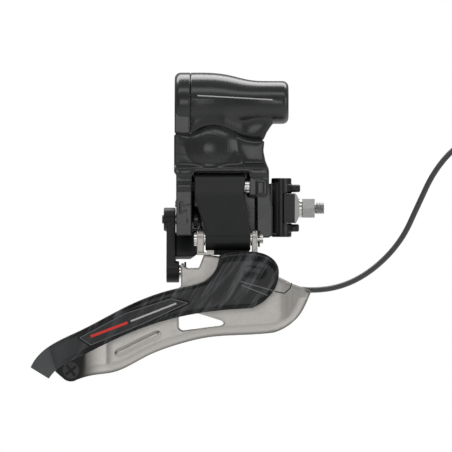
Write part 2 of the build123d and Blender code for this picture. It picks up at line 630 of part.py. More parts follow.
def crank():
    upper = across(*ARM_X, disc(shaft, ARM_R))
    lower = across(*LOBE_X, disc(crank_low, LOBE_R))
    web = across(ARM_X[0] + 1.2, ARM_X[1], hull((shaft, ARM_R - 0.6), (crank_low, LOBE_R - 0.4)))
    length = sqrt(LINK_DY**2 + LINK_DZ**2)
    tilt = degrees(acos(-LINK_DZ / length))
    wing = across(ARM_X[1] - 1, -41.3, Pos(*shaft) * Rot(0, 0, -tilt) * block((-2.4, 1.6), (-17.8, -7.2)))
    wing &= side(-40, 40, outline((-56, -5), (-43.5, -5), (-41.3, -12.5), (-41.3, -19.4),
                                  (-44.5, -21.7), (-56, -23.4)))
    arm = upper + lower + web + wing
    arm -= rod(ARM_X[0] + 1.2, ARM_X[1] + 1, shaft, OUTPUT_R + PRESS)
    arm -= rod(-60, ARM_X[1], shaft, SCREW_R + PRESS)
    arm -= rod(LOBE_X[0] + 0.8, -40, crank_low, PIN_R + PRESS)
    save("crank_arm", arm)
    spindle = rod(ARM_X[0] + 1.2, BOSS_RIGHT - 0.2, shaft, OUTPUT_R)
    spindle -= rod(-60, ARM_X[0] + 4.4, shaft, SCREW_R + PRESS)
    save("output_shaft", spindle)
    screw = rod(ARM_X[0] - 0.7, ARM_X[0], shaft, SCREW_HEAD_R + 0.3)
    save("crank_screw", screw + rod(ARM_X[0], ARM_X[0] + 4.3, shaft, SCREW_R))
    pin = rod(LOBE_X[0] + 0.8, FLANGE_X[1] + 1.4, crank_low, PIN_R)
    save("crank_pin", pin - clip_groove(crank_low, FLANGE_X[1] + 0.15))
    save("crank_washer", tube(LOBE_X[1], FLANGE_X[0] - 0.1, crank_low, 2.9, PIN_R + PRESS))
    save("crank_clip", e_clip(crank_low, FLANGE_X[1] + 0.15, 4.2, 180))


def clip_groove(centre, x):
    return rod(x, x + CLIP, centre, PIN_R + 1) - rod(x, x + CLIP, centre, PIN_R - 0.4)


def e_clip(centre, x, radius, open_at):
    """A spring clip in a pin's groove, with its mouth at an angle in (Y, Z)."""
    ring = disc((0, 0), radius) - disc((0, 0), radius - 1.2)
    lugs = Sketch()
    for angle in (0, 120, 240):
        lugs += Rot(0, 0, angle) * (Pos(-(radius + PIN_R) / 2, 0) * Rectangle(radius - PIN_R, 1.7))
    clip = ring + (lugs - disc((0, 0), PIN_R - 0.38))
    clip -= Pos(radius, 0) * Rectangle(2 * (radius - 1.3), 2 * PIN_R + 0.2)
    return across(x, x + CLIP, Pos(*centre) * Rot(0, 0, open_at) * clip)


# ---------------------------------------------------------------- cage
OUTER_EDGE = [(-112.1, -67.4), (-109.0, -62.6), (-91.1, -51.8), (-70.7, -41.2), (-48.0, -33.5),
              (-37.7, -30.3), (-33.8, -26.0), (-32.4, -20.2)]
OUTER_NOSE = [(-28.6, -18.9), (-18.0, -18.4), (-13.1, -19.4), (-9.1, -21.9), (-7.2, -25.2),
              (-7.1, -29.0), (-8.2, -33.2), (-10.6, -36.8), (-14.4, -40.2), (-18.5, -42.4)]
OUTER_LOW = [(-18.5, -42.4), (-36.3, -43.8), (-56.0, -47.8), (-78.0, -56.3), (-93.4, -64.0),
             (-101.4, -68.7), (-104.3, -72.2)]


def outer_outline():
    """The outer plate's outline in (X, Z), from the tail tip over the top to the nose."""
    upper = Spline(*OUTER_EDGE)
    bridge = Line(OUTER_EDGE[-1], OUTER_NOSE[0])
    nose = Spline(*OUTER_NOSE)
    lower = Spline(*OUTER_LOW)
    tail = Line(OUTER_LOW[-1], OUTER_EDGE[0])
    return make_face([upper, bridge, nose, lower, tail])


def outer_plate():
    face = outer_outline()
    plate = side(OUTER_PLATE_Y - OUTER_SHEET, OUTER_PLATE_Y, face)
    for place in OUTER_RIVETS + TAIL_RIVETS:
        plate -= side(OUTER_PLATE_Y - 3, OUTER_PLATE_Y + 1, disc(place, RIVET_R + PRESS))
    save("outer_plate", plate)
    skin_back = OUTER_PLATE_Y - OUTER_SHEET
    skin = side(skin_back - SKIN, skin_back, face)
    bump = Pos(-17.6, -26.6) * Rot(0, 0, -10) * SlotOverall(8.4, 3.2)
    skin += side(skin_back - SKIN - 0.7, skin_back, bump)
    skin -= side(-40, 0, outline((-120, -50), (-106.8, -50), (-97.4, -80), (-120, -80)))
    panel = make_face(Polyline(*PANEL, close=True))
    skin -= side(skin_back - SKIN - 1, skin_back - SKIN + 0.4, panel)
    save("carbon_skin", skin)
    save("label_panel", side(skin_back - SKIN - 0.05, skin_back - SKIN + 0.4, offset(panel, -0.15)))
    save("outer_rivets", *[side(skin_back, OUTER_PLATE_Y + BRIDGE, disc(place, RIVET_R))
                           + side(OUTER_PLATE_Y + BRIDGE, OUTER_PLATE_Y + BRIDGE + 0.6, disc(place, 2.0))
                           for place in OUTER_RIVETS])


def bridge():
    strap = above(BRIDGE_Z, BRIDGE_Z + BRIDGE, block(BRIDGE_X, (OUTER_PLATE_Y, INNER_Y)))
    strap += side(OUTER_PLATE_Y, OUTER_PLATE_Y + BRIDGE, block(OUTER_TAB_X, (TAB_Z, BRIDGE_Z + BRIDGE)))
    strap += side(INNER_Y - BRIDGE, INNER_Y, block(INNER_TAB_X, (TAB_Z + 1.5, BRIDGE_Z + BRIDGE)))
    ear = disc(outer_low, EAR_R)
    ear += block((outer_low[0] - EAR_R, INNER_Y - 0.5), (BRIDGE_Z, outer_low[1]))
    for x in CAGE_EARS:
        strap += across(*x, ear)
        strap -= rod(x[0] - 1, x[1] + 1, outer_low, PIN_R + PRESS)
    for place in OUTER_RIVETS:
        strap -= side(OUTER_PLATE_Y - 1, OUTER_PLATE_Y + 3, disc(place, RIVET_R + PRESS))
    for place in INNER_RIVETS:
        strap -= side(INNER_Y - 3, INNER_Y + 1, disc(place, RIVET_R + PRESS))
    save("cage_bridge", strap)
    pin = rod(*LOWER_PIN_X, outer_low, PIN_R) + rod(LOWER_PIN_X[0] - 0.9, CAGE_EARS[0][0], outer_low, 3.0)
    save("link_pin_lower", pin - clip_groove(outer_low, CAGE_EARS[1][1] + 0.2))
    save("lower_clip", e_clip(outer_low, CAGE_EARS[1][1] + 0.2, 3.4, 200))
    left = tube(CAGE_EARS[0][1], LINK_LOW_X[0] - 0.1, outer_low, SPACER_R, PIN_R + PRESS)
    right = tube(LINK_LOW_X[1] + 0.1, CAGE_EARS[1][0], outer_low, SPACER_R, PIN_R + PRESS)
    save("lower_spacers", left, right)


def inner_outline():
    """The inner plate's outline in (X, Z): fin, top, nose, long lower edge and tail."""
    fin = Polyline((-31.0, -20.6), (-38.7, -19.6), (-40.9, -25.3), (-45.4, -25.5), (-48.5, -24.2),
                   (-48.5, -33.2), (-60.0, -39.6), (-72.0, -46.0), (-84.0, -52.5), (-94.0, -62.6))
    lug = Polyline((-94.0, -62.6), (-99.5, -66.0), (-100.4, -70.6), (-97.0, -73.2), (-92.0, -72.6))
    lower = Spline((-92.0, -72.6), (-85.4, -70.9), (-78.0, -70.0), (-63.4, -63.2), (-48.7, -57.7),
                   (-37.7, -55.1), (-23.1, -54.0), (-9.1, -53.0))
    chin = Spline((-9.1, -53.0), (-1.8, -49.3), (1.9, -45.6), (4.8, -40.5), (7.0, -35.2))
    nose = Polyline((7.0, -35.2), (-1.5, -31.8), (-6.9, -29.1), (-12.0, -24.0), (-16.0, -20.6),
                    (-31.0, -20.6))
    return make_face([fin, lug, lower, chin, nose])


def inner_plate():
    middle = INNER_Y + SHEET / 2
    tail = TAIL_Y + SHEET / 2
    run = strip([(9.0, middle + 1.9), (-6.0, middle), (-80.0, middle), (-89.5, tail), (-102.0, tail)],
                SHEET)
    plate = side(-40, 10, inner_outline()) & above(-90, 0, run)
    plate -= side(-30, 0, outline((-49.4, -44.4), (-49.3, -51.0), (-47.7, -51.9), (-31.3, -49.8),
                                  (-30.2, -49.0), (-31.2, -47.9), (-38.4, -45.6), (-43.0, -44.4)))
    plate -= side(-30, 0, strip([(-1.0, -30.6), (-2.1, -34.1), (-4.5, -36.2), (-8.6, -35.4)], SLIT))
    flange = disc(crank_low, EAR_R)
    flange += outline((INNER_Y, -24.2), (crank_low[0], crank_low[1] + EAR_R),
                      (crank_low[0], crank_low[1] - EAR_R), (INNER_Y, -33.2))
    plate += across(*FLANGE_X, flange)
    plate -= rod(FLANGE_X[0] - 1, FLANGE_X[1] + 1, crank_low, PIN_R + RUN + 0.02)
    rib = side(INNER_Y - 0.6, INNER_Y + 0.1, Pos(-66.9, -57.6) * Rot(0, 0, 26) * SlotOverall(20.5, 2.2))
    plate += rib
    for place in INNER_RIVETS:
        plate -= side(INNER_Y - 1, INNER_Y + 3, disc(place, RIVET_R + PRESS))
    plate -= side(TAIL_Y - 2, TAIL_Y + 3, disc(LUG_SCREW, TAIL_SCREW_R + PRESS))
    save("inner_plate", plate)
    save("inner_rivets", *[side(INNER_Y - BRIDGE, INNER_Y + SHEET, disc(place, RIVET_R))
                           + side(INNER_Y + SHEET, INNER_Y + SHEET + 0.6, disc(place, 2.0))
                           for place in INNER_RIVETS])


def tail():
    drop = make_hull((disc(LUG_SCREW, 4.7) + disc((-99.2, -67.6), 2.8) + disc((-92.0, -60.4), 2.6)
                      + disc((-99.6, -64.4), 2.6)).edges())
    lug = side(OUTER_PLATE_Y, TAIL_Y, drop)
    lug -= side(OUTER_PLATE_Y - 1, OUTER_PLATE_Y + TAIL_HEAD + 0.3, disc(LUG_SCREW, TAIL_HEAD_R + 0.1))
    lug -= side(OUTER_PLATE_Y - 1, TAIL_Y + 1, disc(LUG_SCREW, TAIL_SCREW_R + PRESS))
    for place in TAIL_RIVETS:
        lug -= side(OUTER_PLATE_Y - 1, OUTER_PLATE_Y + 2.6, disc(place, RIVET_R + PRESS))
    save("tail_lug", lug)
    save("tail_rivets", *[side(OUTER_PLATE_Y - OUTER_SHEET, OUTER_PLATE_Y + 2.5, disc(place, RIVET_R))
                          for place in TAIL_RIVETS])
    seat = OUTER_PLATE_Y + TAIL_HEAD + 0.3
    head = side(seat - TAIL_HEAD, seat, disc(LUG_SCREW, TAIL_HEAD_R))
    cross = Rectangle(*TAIL_CROSS) + Rectangle(*reversed(TAIL_CROSS))
    head -= side(seat - TAIL_HEAD - 1, seat - TAIL_HEAD + 1.1, Pos(*LUG_SCREW) * Rot(0, 0, 38) * cross)
    screw = head + side(seat, TAIL_Y + SHEET + TAIL_NUT + 0.5, disc(LUG_SCREW, TAIL_SCREW_R))
    save("tail_screw", screw)
    nut = side(TAIL_Y + SHEET, TAIL_Y + SHEET + TAIL_NUT, Pos(*LUG_SCREW) * RegularPolygon(3.2, 6))
    save("tail_nut", nut - side(TAIL_Y, 0, disc(LUG_SCREW, TAIL_SCREW_R + PRESS)))


# ---------------------------------------------------------------- data cable
def cable():
    points = [Vector(*point) for point in CABLE_POINTS]
    radii = []
    for before, corner, after in zip(points, points[1:], points[2:]):
        turn = (corner - before).get_angle(after - corner)
        shorter = min((corner - before).length, (after - corner).length)
        radii.append(0.45 * shorter / tan(radians(turn / 2)))
    path = FilletPolyline(*points, radius=radii)
    run = sweep(Plane(origin=points[0], z_dir=points[1] - points[0]) * Circle(CABLE_D / 2), path)
    save("data_cable", run)
    length = path.length + COIL_TURNS * 2 * pi * COIL_R + CABLE_TAIL
    print("cable bends", [round(radius, 1) for radius in radii])
    print("cable length", round(length, 1), "run", round(path.length, 1),
          "volume ratio", round(run.volume / (pi * CABLE_D**2 / 4 * path.length), 4))
    x, y, z = COIL_CENTRE
    half = (COIL_TURNS * COIL_PITCH + CABLE_D) / 2
    ring = side(y - half, y + half, disc((x, z), COIL_R + 1.3) - disc((x, z), COIL_R - 1.3))
    save("cable_coil", ring.fillet(1.0, ring.edges()))
    end_y = y + COIL_TURNS * COIL_PITCH / 2
    save("data_cable_end", above(z - CABLE_TAIL, z, disc((x + COIL_R, end_y), CABLE_D / 2)))
    plug = above(z - CABLE_TAIL - 6, z - CABLE_TAIL, disc((x + COIL_R, end_y), 1.9))
    plug += above(z - CABLE_TAIL - 17, z - CABLE_TAIL - 6, disc((x + COIL_R, end_y), 2.7))
    save("cable_connector", plug)


if __name__ == "__main__":
    gear_train()
    housing()
    lid()
    gasket()
    drive_unit()
    electronics()
    mount()
    link_hardware()
    outer_link()
    crank()
    outer_plate()
    bridge()
    inner_plate()
    tail()
    cable()
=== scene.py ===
"""A motor-driven front derailleur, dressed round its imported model.

The gear case hangs from a bolt-on mount. Two links carry the chain cage: a silver inner plate
and a carbon-faced outer plate. +X is forward on the bike, +Z up, +Y inward, towards the frame.
Objects are in metres; sizes written here are in millimetres, brought to metres by MM.
"""
import json
from math import cos, pi, radians, sin

import bpy
import numpy as np
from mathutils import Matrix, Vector
from mathutils.kdtree import KDTree


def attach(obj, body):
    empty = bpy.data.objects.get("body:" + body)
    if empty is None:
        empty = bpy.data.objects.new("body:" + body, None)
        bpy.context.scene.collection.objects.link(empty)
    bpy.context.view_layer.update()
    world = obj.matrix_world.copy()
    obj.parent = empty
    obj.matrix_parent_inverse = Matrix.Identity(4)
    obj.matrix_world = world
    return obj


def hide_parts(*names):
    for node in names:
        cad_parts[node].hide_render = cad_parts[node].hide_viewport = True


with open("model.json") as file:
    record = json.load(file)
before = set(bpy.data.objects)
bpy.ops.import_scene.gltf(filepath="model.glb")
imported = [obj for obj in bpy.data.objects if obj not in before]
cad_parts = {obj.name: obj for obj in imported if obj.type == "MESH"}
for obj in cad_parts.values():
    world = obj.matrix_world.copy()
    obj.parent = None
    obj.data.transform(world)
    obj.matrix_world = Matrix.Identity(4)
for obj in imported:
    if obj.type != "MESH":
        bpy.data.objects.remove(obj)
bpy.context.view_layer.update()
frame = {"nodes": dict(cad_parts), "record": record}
MM = 0.001

# ------------------------------------------------------------------ camera
# A long lens looks square-on at the drive side, so the cage and the gear case keep
# their true outlines. The cable runs out of view on the right. In metres.
SENSOR_WIDTH = 36.0
LENS_FROM = 2.40
VIEW_WIDTH = 0.1923
VIEW_DEPTH = 0.010
VIEW_CENTRE_X = -0.02936
VIEW_CENTRE_Z = -0.00757
camera_data = bpy.data.cameras.new("camera")
camera_data.lens = SENSOR_WIDTH * (LENS_FROM - VIEW_DEPTH) / VIEW_WIDTH
camera_data.clip_end = 50.0
camera = bpy.data.objects.new("camera", camera_data)
camera.location = (VIEW_CENTRE_X, -LENS_FROM, VIEW_CENTRE_Z)
camera.rotation_euler = (pi / 2, 0, 0)
bpy.context.scene.collection.objects.link(camera)
bpy.context.scene.camera = camera

# ------------------------------------------------------------------ data cable
# A thin round lead in a smooth dark jacket. It leaves the grommet under the gear case,
# passes behind the cage and rises in one open curve. What is left over is a neat coil.
CABLE_WIDTH = 2.4 * MM
CABLE_ROUTE = [
    (-27.0, 12.0, 12.0),
    (-27.0, 12.0, -7.0),
    (-22.5, 11.0, -22.0),
    (-9.5, 9.5, -32.5),
    (6.0, 8.5, -35.6),
    (21.0, 8.0, -33.6),
    (34.5, 8.0, -26.0),
    (46.0, 8.0, -13.8),
    (52.8, 8.0, 1.0),
    (60.0, 7.6, 16.5),
    (71.0, 7.3, 28.5),
]
COIL_X, COIL_Y, COIL_Z = 87.0, 10.0, 21.0
COIL_RADIUS = 13.5
COIL_TURNS = 2.25
COIL_PITCH = 2.5
COIL_FROM = radians(90)
STEPS_A_TURN = 16
TAIL_DROPS = (4.0, 8.0, 13.0)

points = [Vector(point) * MM for point in CABLE_ROUTE]
for step in range(round(COIL_TURNS * STEPS_A_TURN) + 1):
    turn = step / STEPS_A_TURN
    angle = COIL_FROM - turn * 2 * pi
    side_step = (turn - COIL_TURNS / 2) * COIL_PITCH
    points.append(Vector((COIL_X + COIL_RADIUS * cos(angle), COIL_Y + side_step,
                          COIL_Z + COIL_RADIUS * sin(angle))) * MM)
coil_end = points[-1]
for drop in TAIL_DROPS:
    points.append(coil_end - Vector((0, 0, drop * MM)))

cable_curve = bpy.data.curves.new("data_cable_line", "CURVE")
cable_curve.dimensions = "3D"
cable_curve.bevel_depth = CABLE_WIDTH / 2
cable_curve.bevel_resolution = 5
cable_curve.resolution_u = 10
cable_curve.use_fill_caps = True
spline = cable_curve.splines.new("NURBS")
spline.points.add(len(points) - 1)
for place, point in zip(spline.points, points):
    place.co = (*point, 1)
spline.order_u = 3
spline.use_endpoint_u = True
cable = bpy.data.objects.new("data_cable_line", cable_curve)
bpy.context.scene.collection.objects.link(cable)


class Wire:
    """One output of a shader node; sums and products with it add Math nodes."""

    def __init__(self, look, socket):
        self.look = look
        self.socket = socket

    def maths(self, operation, first, second):
        return self.look.node("ShaderNodeMath", {"operation": operation}, [first, second])

    def __add__(self, other):
        return self.maths("ADD", self, other)

    def __sub__(self, other):
        return self.maths("SUBTRACT", self, other)

    def __mul__(self, other):
        return self.maths("MULTIPLY", self, other)

    def __rsub__(self, other):
        return self.maths("SUBTRACT", other, self)

    def __abs__(self):
        return self.maths("ABSOLUTE", self, 0)

    def over(self, limit):
        return self.maths("GREATER_THAN", self, limit)

    def under(self, limit):
        return self.maths("LESS_THAN", self, limit)

    def bigger(self, other):
        return self.maths("MAXIMUM", self, other)

    def smaller(self, other):
        return self.maths("MINIMUM", self, other)

    __radd__ = __add__
    __rmul__ = __mul__


class Look:
    """A material, with one way to add any node to it."""

    def __init__(self, name, colour, roughness, metallic=0.0):
        self.material = bpy.data.materials.new(name)
        self.material.use_nodes = True
        self.material.diffuse_color = (*colour, 1)
        self.tree = self.material.node_tree
        self.shader = self.tree.nodes["Principled BSDF"]
        self.set("Base Color", (*colour, 1))
        self.set("Roughness", roughness)
        self.set("Metallic", metallic)

    def set(self, socket, value):
        if isinstance(value, Wire):
            self.tree.links.new(value.socket, self.shader.inputs[socket])
        else:
            self.shader.inputs[socket].default_value = value

    def node(self, kind, settings, inputs, out=0):
        made = self.tree.nodes.new(kind)
        for name, value in settings.items():
            if name == "stops":
                ramp = made.color_ramp.elements
                while len(ramp) < len(value):
                    ramp.new(0.5)
                for element, (place, colour) in zip(ramp, value):
                    element.position = place
                    element.color = (*colour, 1)
            else:
                setattr(made, name, value)
        pairs = inputs.items() if isinstance(inputs, dict) else enumerate(inputs)
        for name, value in pairs:
            if isinstance(value, Wire):
                self.tree.links.new(value.socket, made.inputs[name])
            else:
                made.inputs[name].default_value = value
        return Wire(self, made.outputs[out])

    def place(self):
        return self.node("ShaderNodeTexCoord", {}, {}, "Object")

    def axes(self):
        split = self.node("ShaderNodeSeparateXYZ", {}, [self.place()])
        return [Wire(self, split.socket.node.outputs[axis]) for axis in range(3)]

    def noise(self, scale, detail=3.0, stretch=(1, 1, 1), turn=(0, 0, 0), swirl=0.0):
        where = self.node("ShaderNodeMapping", {"vector_type": "TEXTURE"},
                          {"Vector": self.place(), "Scale": stretch, "Rotation": turn})
        return self.node("ShaderNodeTexNoise", {},
                         {"Vector": where, "Scale": scale, "Detail": detail,
                          "Distortion": swirl})

    def blend(self, factor, low, high):
        return self.node("ShaderNodeMix", {"data_type": "RGBA"},
                         {0: factor, 6: low if isinstance(low, Wire) else (*low, 1),
                          7: high if isinstance(high, Wire) else (*high, 1)}, 2)

    def ramp(self, value, low, high):
        """0 below low, 1 above high, with a soft change between. Limits in millimetres."""
        return self.node("ShaderNodeMapRange", {"interpolation_type": "SMOOTHSTEP"},
                         {"Value": value, "From Min": low * MM, "From Max": high * MM})

    def stroke(self, start, end, width):
        """1 within a straight stroke drawn on the drive side, in millimetres of X and Z."""
        x, y, z = self.axes()
        run = Vector(end) - Vector(start)
        ahead = run.normalized()
        along = (x - start[0] * MM) * ahead.x + (z - start[1] * MM) * ahead.y
        aside = (x - start[0] * MM) * ahead.y - (z - start[1] * MM) * ahead.x
        return (y.under(DRIVE_SIDE * MM) * along.over(0) * along.under(run.length * MM)
                * abs(aside).under(width / 2 * MM))

    def line(self, corners, width):
        """1 along a line drawn through these corners."""
        drawn = self.stroke(corners[0], corners[1], width)
        for start, end in zip(corners[1:], corners[2:]):
            drawn = drawn.bigger(self.stroke(start, end, width))
        return drawn

    def bump(self, height, strength, depth):
        self.set("Normal", self.node("ShaderNodeBump", {},
                                     {"Height": height, "Strength": strength,
                                      "Distance": depth * MM}))


DRIVE_SIDE = 4.0    # strokes stay on surfaces whose Y is under this
jacket = Look("cable_jacket", (0.055, 0.055, 0.058), 0.42)
grain = jacket.noise(2500.0)
jacket.set("Roughness", grain * 0.12 + 0.36)
jacket.bump(grain, 0.15, 0.03)
cable_curve.materials.append(jacket.material)
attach(cable, "frame_body")
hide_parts("data_cable", "cable_coil", "data_cable_end")

# ------------------------------------------------------------------ room and light
# A pale flat floor well below the part, and a white world that lights it faintly. A broad
# lamp stands above and behind, a long strip above and in front draws the bright lines on
# the round housings, and two boxes fill in from the front and the right. In metres.
FLOOR_Z = -0.17
WORLD_LIGHT = 0.30
LAMPS = [
    # name, place, aimed at, size, watts
    ("overhead", (-0.05, 0.34, 0.73), (-0.03, 0, 0.02), (1.3, 0.46), 11.0),
    ("upper_strip", (-0.05, -0.52, 0.62), (-0.03, 0, 0.03), (1.3, 0.20), 1.5),
    ("front_box", (-0.25, -2.9, 0.10), (-0.03, 0, 0), (0.9, 0.7), 4.0),
    ("right_box", (0.85, -0.45, 0.15), (-0.03, 0, 0.02), (0.5, 0.5), 1.2),
]
bpy.ops.object.select_all(action="DESELECT")
bpy.ops.mesh.primitive_plane_add(size=3.0, location=(0, 0, FLOOR_Z))
floor = bpy.context.object
floor.name = "floor"
paper = Look("paper", (0.66, 0.66, 0.66), 0.9)
paper.set("Specular IOR Level", 0.1)
floor.data.materials.append(paper.material)

world = bpy.data.worlds.new("studio")
world.use_nodes = True
bpy.context.scene.world = world
tree = world.node_tree
tree.nodes.clear()
rays = tree.nodes.new("ShaderNodeLightPath")
seen = tree.nodes.new("ShaderNodeMath")
seen.operation = "MAXIMUM"
tree.links.new(rays.outputs["Is Camera Ray"], seen.inputs[0])
tree.links.new(rays.outputs["Is Transmission Ray"], seen.inputs[1])
either = tree.nodes.new("ShaderNodeMixShader")
tree.links.new(seen.outputs[0], either.inputs[0])
for socket, strength in ((1, WORLD_LIGHT), (2, 1.0)):
    white = tree.nodes.new("ShaderNodeBackground")
    white.inputs["Color"].default_value = (1, 1, 1, 1)
    white.inputs["Strength"].default_value = strength
    tree.links.new(white.outputs[0], either.inputs[socket])
result = tree.nodes.new("ShaderNodeOutputWorld")
tree.links.new(either.outputs[0], result.inputs[0])

for name, place, aim, size, watts in LAMPS:
    light = bpy.data.lights.new(name, "AREA")
    light.shape = "RECTANGLE"
    light.size, light.size_y = size
    light.energy = watts
    lamp = bpy.data.objects.new(name, light)
    lamp.location = place
    lamp.rotation_euler = (Vector(aim) - Vector(place)).to_track_quat("-Z", "Y").to_euler()
    bpy.context.scene.collection.objects.link(lamp)
bpy.context.scene.view_settings.view_transform = "Standard"

# ------------------------------------------------------------------ gear case shells
# The motor cover, the cap over the first gears and the lower body are moulded in a
# carbon-filled plastic: satin graphite, faintly mottled, with soft edges at a dark seam.
# A pale stripe runs along the motor cover. Each shell is a rounded copy of its CAD part.
PINSTRIPE = [(-41.5, 48.0), (-9.5, 46.3)]
PINSTRIPE_WIDTH = 0.45
COVER_SWELL = {"across": (-46.0, -8.0), "up": (27.0, 46.0), "front_of": 6.0}
BODY_SWELL = {"across": (-49.0, -14.0), "up": (12.5, 34.5), "front_of": 4.0}
ANYWHERE = (-1000.0, 1000.0)


def paint(piece, look):
    piece.data.materials.clear()
    piece.data.materials.append(look.material)


def copy_of(node, name):
    """A new piece with the CAD part's shape, ready to be worked on."""
    piece = bpy.data.objects.new(name, frame["nodes"][node].data.copy())
    bpy.context.scene.collection.objects.link(piece)
    bpy.ops.object.select_all(action="DESELECT")
    piece.select_set(True)
    bpy.context.view_layer.objects.active = piece
    return piece


def soften(node, body, look, voxel, passes):
    """A copy of a part with its sharp edges rounded as moulding or tumbling leaves them."""
    piece = copy_of(node, node + "_finish")
    bpy.ops.object.mode_set(mode="EDIT")
    bpy.ops.mesh.select_all(action="SELECT")
    bpy.ops.mesh.remove_doubles(threshold=0.002 * MM)
    bpy.ops.object.mode_set(mode="OBJECT")
    skin = piece.modifiers.new("skin", "REMESH")
    skin.mode = "VOXEL"
    skin.voxel_size = voxel * MM
    skin.adaptivity = 0.0
    bpy.ops.object.modifier_apply(modifier="skin")
    round_off = piece.modifiers.new("round_off", "SMOOTH")
    round_off.iterations = passes
    bpy.ops.object.modifier_apply(modifier="round_off")
    bpy.ops.object.shade_smooth()
    paint(piece, look)
    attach(piece, body)
    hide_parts(node)
    return piece


def coordinates(piece):
    """The corners of a mesh, in millimetres."""
    places = np.empty(len(piece.data.vertices) * 3)
    piece.data.vertices.foreach_get("co", places)
    return places.reshape(-1, 3) / MM


def smooth_front(piece, passes, across=ANYWHERE, up=ANYWHERE, front_of=ANYWHERE[1]):
    """Lets a region flow in depth, so that swellings and folds run softly into the wall."""
    forward, inward, upward = coordinates(piece).T
    chosen = np.flatnonzero((forward > across[0]) & (forward < across[1]) & (upward > up[0])
                            & (upward < up[1]) & (inward < front_of))
    region = piece.vertex_groups.new(name="region")
    region.add(chosen.tolist(), 1.0, "REPLACE")
    flow = piece.modifiers.new("flow", "SMOOTH")
    flow.iterations = passes
    flow.use_x = False
    flow.use_z = False
    flow.vertex_group = region.name
    bpy.ops.object.modifier_apply(modifier="flow")
    piece.vertex_groups.clear()


graphite = Look("graphite_housing", (0.020, 0.021, 0.023), 0.38)
cloud = graphite.noise(160.0, 4.0, (1.6, 1.0, 1.0), (0, -0.5, 0))
speck = graphite.noise(2600.0)
grit = graphite.noise(1500.0, 2.0)
mottled = graphite.blend(cloud * 0.55 + grit * 0.45, (0.001, 0.0011, 0.0012), (0.030, 0.0318, 0.034))
graphite.set("Base Color", graphite.blend(graphite.line(PINSTRIPE, PINSTRIPE_WIDTH), mottled,
                                          (0.6, 0.6, 0.6)))
graphite.set("Roughness", cloud * 0.12 + speck * 0.05 + 0.15)
graphite.bump(speck, 0.12, 0.03)
graphite.set("Specular IOR Level", 0.62)
cover = soften("motor_cover", "frame_body", graphite, 0.36, 6)
smooth_front(cover, 260, **COVER_SWELL)
soften("gear_case_cap", "frame_body", graphite, 0.33, 3)
lower_body = soften("main_body", "frame_body", graphite, 0.40, 4)
smooth_front(lower_body, 90, **BODY_SWELL)

# ------------------------------------------------------------------ outer link and crank arm
# Forged aluminium, bead-blasted and anodised black. The link widens towards its upper
# barrel, where its front also falls back, and its foot reaches down over the bridge.
LINK_TOP_WIDER = 0.8        # towards the front of the bike
LINK_TOP_WIDER_BACK = 0.5   # and towards its back
LINK_FALL_BACK = 1.2
LINK_FOOT_LONGER = 0.6


def rise(values, start, run, most=1.0):
    """0 before start, then the share of run gone by; a negative run looks the other way."""
    return np.clip((values - start) / run, 0, most)


def move_to(piece, places):
    piece.data.vertices.foreach_set("co", (places * MM).ravel())
    piece.data.update()


black_alloy = Look("black_alloy", (0.012, 0.0125, 0.013), 0.42)
blast = black_alloy.noise(3000.0)
patch = black_alloy.noise(120.0)
black_alloy.set("Base Color", black_alloy.blend(patch, (0.009, 0.0095, 0.010),
                                                (0.017, 0.018, 0.019)))
black_alloy.set("Roughness", patch * 0.12 + 0.34)
black_alloy.bump(blast, 0.15, 0.03)
black_alloy.set("Specular IOR Level", 0.32)
link = soften("outer_link", "link", black_alloy, 0.36, 5)
places = coordinates(link)
forward, inward, upward = places.T
upper = rise(upward, -12.0, 14.0)
forward += LINK_TOP_WIDER * rise(forward, -30.0, 6.0) * upper
forward -= LINK_TOP_WIDER_BACK * rise(forward, -34.0, -6.0) * upper
front = rise(inward, np.median(inward) + 1.0, -2.0)
inward += front * LINK_FALL_BACK * rise(upward, 5.0, 8.0, 1.1) ** 2
upward -= LINK_FOOT_LONGER * rise(upward, -14.0, -3.0)
move_to(link, places)
soften("crank_arm", "crank", black_alloy, 0.30, 5)

# ------------------------------------------------------------------ mount block
# Forged and anodised a deeper black: a round-fronted column with two prongs that
# straddle the hanger. Prongs and column are rounded by drawing their front edges back.
PRONG_Z = 8.4
PRONG_HALF = 1.9
PRONG_ROUND = 1.1
COLUMN_X = -5.6
COLUMN_HALF = 4.2
COLUMN_ROUND = 0.8
mount_black = Look("mount_black", (0.004, 0.0042, 0.0045), 0.30)
mount_black.set("Roughness", mount_black.noise(600.0) * 0.12 + 0.24)
mount_block = soften("mount_block", "frame_body", mount_black, 0.26, 2)
places = coordinates(mount_block)
forward, inward, upward = places.T
front = rise(inward, inward.mean(), -3.0)
from_prong = np.abs(np.abs(upward) - PRONG_Z) / PRONG_HALF
on_prong = (forward > COLUMN_X + COLUMN_HALF) & (from_prong < 1.2)
from_column = np.abs(forward - COLUMN_X) / COLUMN_HALF
inward += front * np.where(on_prong, PRONG_ROUND * from_prong ** 2, 0)
inward += front * np.where(from_column < 1, COLUMN_ROUND * from_column ** 2, 0)
move_to(mount_block, places)

# ------------------------------------------------------------------ inner plate
# Pressed from thin alloy sheet, satin and warm. Its lower edge and nose roll away from the chain.
# Along them the colour carries a band of painted shade and a painted highlight line. A fine slit
# parts the nose's upper corner.
JOGGLE = {"across": (-93.0, -77.8), "up": (-70.0, -48.0)}
NOSE_FOLD = {"across": (-15.0, ANYWHERE[1])}
EDGE_STEP = 0.8
RAMP_STOPS = 30
ROLL_BAND = 4.2
ROLL_DEPTH = 2.6
SLIT = [(-0.9, -30.4), (-2.1, -34.1), (-4.5, -36.2), (-8.6, -35.4)]
SLIT_WIDTH = 0.45


